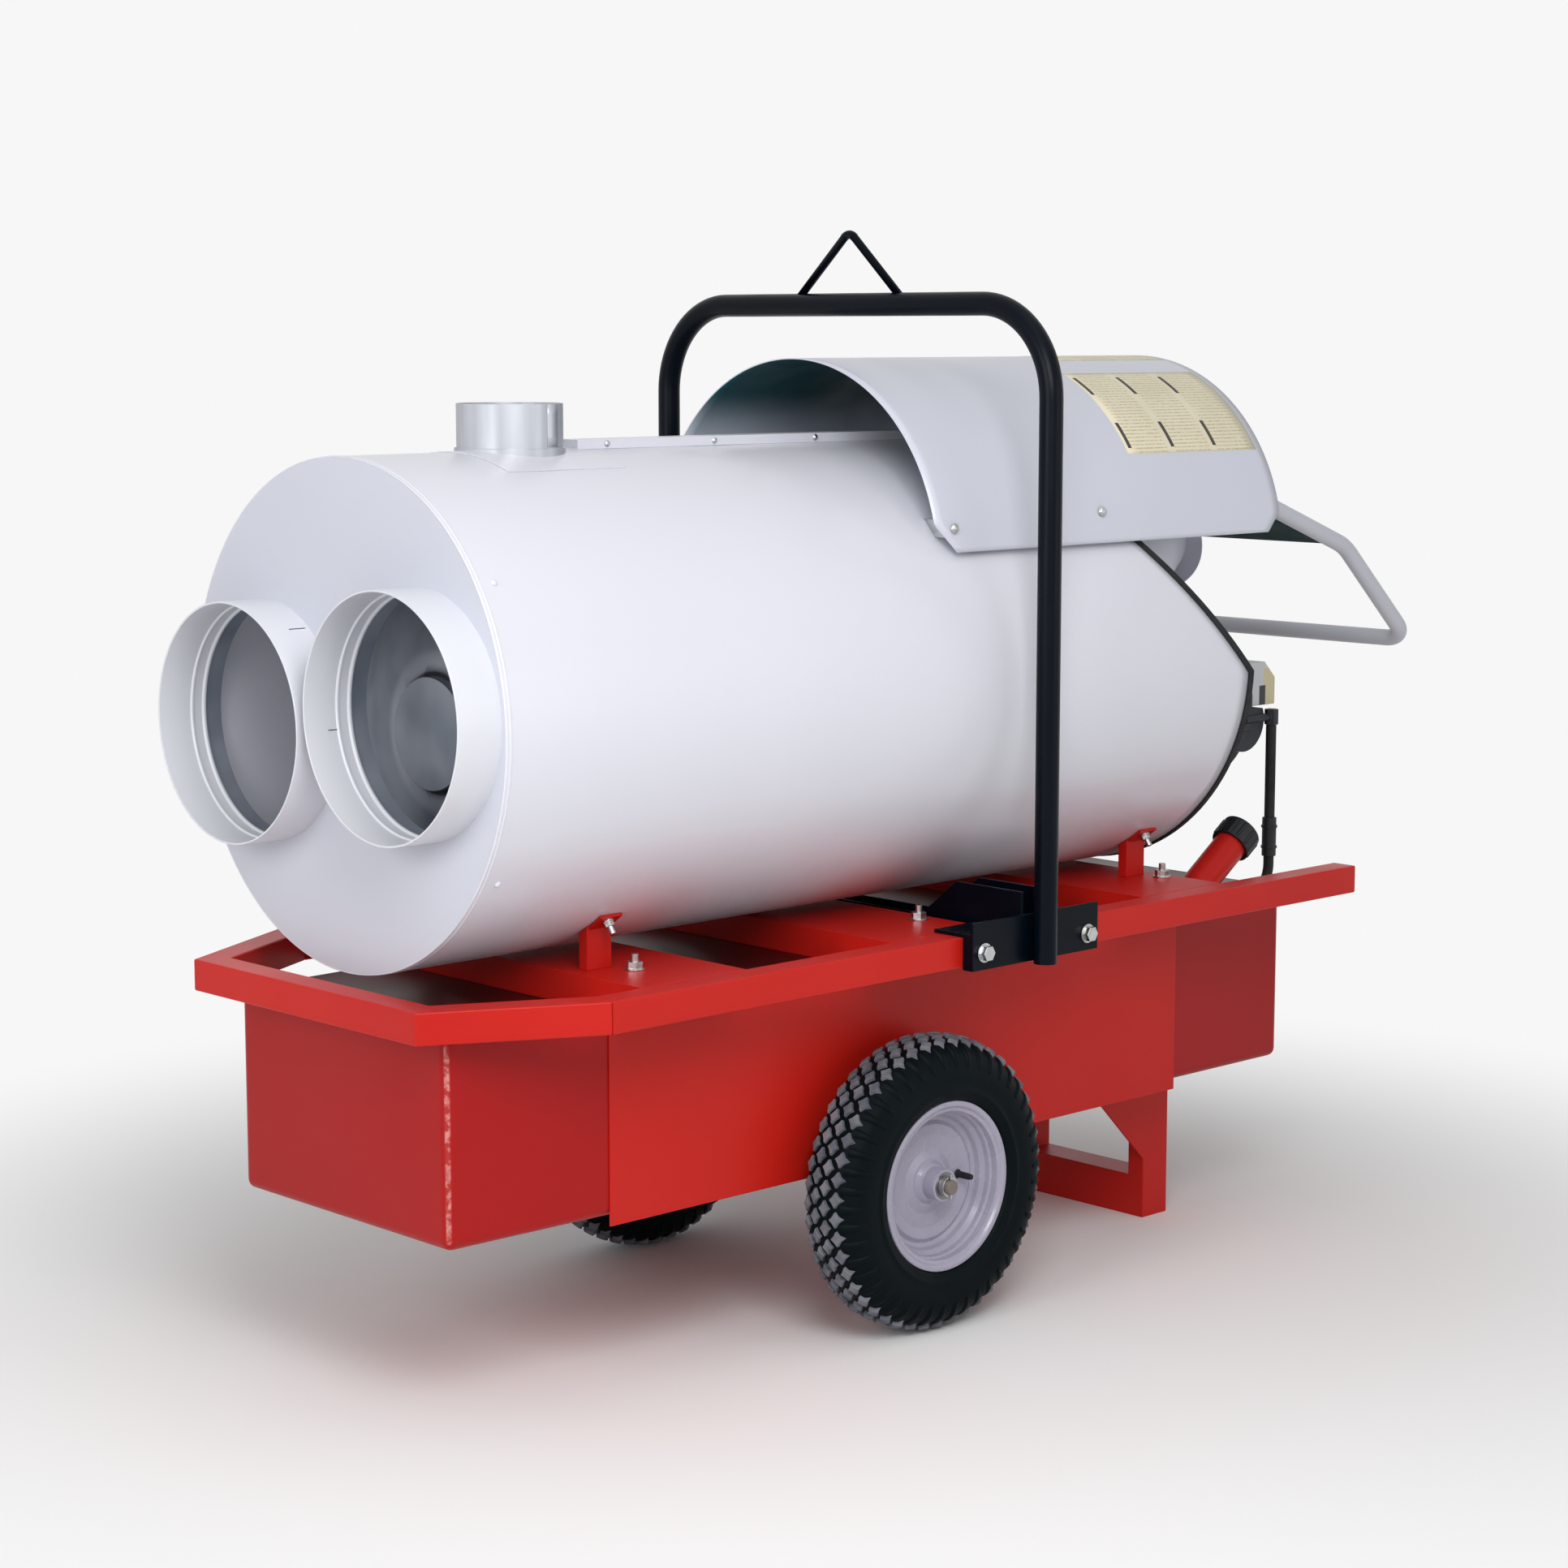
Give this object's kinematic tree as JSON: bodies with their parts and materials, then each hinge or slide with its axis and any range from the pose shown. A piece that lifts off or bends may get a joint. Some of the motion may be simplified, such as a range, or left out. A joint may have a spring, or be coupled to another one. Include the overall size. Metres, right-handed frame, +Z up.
{
  "type": "diesel space heater",
  "caption": "Wheeled indirect-fired diesel space heater with twin hot air outlets, hooded fan, oil burner, fuel tank, lifting bar and push handle.",
  "frame": {"origin": "on the ground, under the middle of the heater's length and width", "axes": "+X from the duct outlets to the push handle, +Y to the far side, away from the filler neck, +Z up"},
  "size_m": [1.928, 0.788, 1.4751],
  "materials": {
    "red_paint": "gloss",
    "light_paint": "gloss",
    "black_paint": "gloss",
    "grey_paint": "satin",
    "bare_steel": "satin",
    "heat_steel": "matte",
    "zinc": "satin",
    "cast_alloy": "matte",
    "brass": "satin",
    "rubber": "matte",
    "tyre_rubber": "matte",
    "black_plastic": "satin",
    "grey_plastic": "satin",
    "red_plastic": "gloss"
  },
  "bodies": {
    "heater": {"tank_shell": "red_paint", "side_panels": "red_paint", "filler_neck": "red_paint", "fuel_pickup": "brass", "fuel_filter": "black_plastic", "fuel_hose": "rubber", "drain_plug": "zinc", "rail_left": "red_paint", "rail_right": "red_paint", "frame_nose": "red_paint", "cross_members": "red_paint", "saddle_posts": "red_paint", "frame_bolts": "zinc", "lift_bar": "black_paint", "lift_eye": "black_paint", "lift_base": "black_paint", "body_shell": "light_paint", "front_plate": "light_paint", "duct_collar_left": "light_paint", "duct_collar_right": "light_paint", "rear_plate": "light_paint", "fan_deck": "light_paint", "edge_trim": "rubber", "top_seam": "light_paint", "chimney_collar": "light_paint", "heat_exchanger": "heat_steel", "combustion_chamber": "heat_steel", "fan_ring": "light_paint", "fan_guard": "black_paint", "fan_motor": "black_paint", "motor_mount": "black_paint", "hood": "light_paint", "tail_sheet": "light_paint", "hood_clips": "zinc", "handle": "grey_paint", "body_screws": "zinc", "blast_tube": "bare_steel", "nozzle_assembly": "brass", "blower_housing": "cast_alloy", "burner_motor": "black_paint", "fuel_pump": "cast_alloy", "burner_control": "grey_plastic", "control_box": "grey_plastic", "axle": "red_paint", "axle_hardware": "zinc", "rear_stand": "red_paint"},
    "wheel_left": {"tyre_left": "tyre_rubber", "rim_left": "grey_paint", "bearings_left": "bare_steel"},
    "wheel_right": {"tyre_right": "tyre_rubber", "rim_right": "grey_paint", "bearings_right": "bare_steel"},
    "fan": {"fan_shaft": "bare_steel", "fan_blades": "cast_alloy"},
    "burner_rotor": {"blower_wheel": "bare_steel"},
    "fuel_cap": {"fuel_cap": "black_plastic"},
    "thermostat_knob": {"thermostat_knob": "black_plastic"},
    "power_switch": {"power_switch": "red_plastic"},
    "reset_button": {"reset_button": "red_plastic"},
    "air_shutter": {"air_shutter": "black_paint"}
  },
  "joints": [
    {"name": "wheel_left_spin", "type": "hinge", "parent": "heater", "child": "wheel_left", "pos_m": [-0.153, 0.286, 0.202], "axis": [0, 1, 0], "continuous": true},
    {"name": "wheel_right_spin", "type": "hinge", "parent": "heater", "child": "wheel_right", "pos_m": [-0.153, -0.286, 0.202], "axis": [0, 1, 0], "continuous": true},
    {"name": "fan_spin", "type": "hinge", "parent": "heater", "child": "fan", "pos_m": [0.3295, 0, 1.0075], "axis": [0.7071, 0, 0.7071], "continuous": true},
    {"name": "blower_spin", "type": "hinge", "parent": "heater", "child": "burner_rotor", "pos_m": [0.678, 0, 0.757], "axis": [0, 1, 0], "continuous": true},
    {"name": "fuel_cap_turn", "type": "hinge", "parent": "heater", "child": "fuel_cap", "pos_m": [0.521, -0.185, 0.5], "axis": [0.8191, 0, 0.5736], "range_deg": [0, 90]},
    {"name": "thermostat_turn", "type": "hinge", "parent": "heater", "child": "thermostat_knob", "pos_m": [0.568, 0.168, 0.787], "axis": [1, 0, 0], "range_deg": [0, 270]},
    {"name": "power_switch_rock", "type": "hinge", "parent": "heater", "child": "power_switch", "pos_m": [0.562, 0.168, 0.727], "axis": [0, -1, 0], "range_deg": [0, 14]},
    {"name": "reset_press", "type": "slide", "parent": "heater", "child": "reset_button", "axis": [-1, 0, 0], "range_m": [0, 0.003], "stiffness_N_per_m": 400},
    {"name": "air_shutter_turn", "type": "hinge", "parent": "heater", "child": "air_shutter", "pos_m": [0.678, -0.0923, 0.757], "axis": [0, 1, 0], "range_deg": [0, 60]}
  ]
}
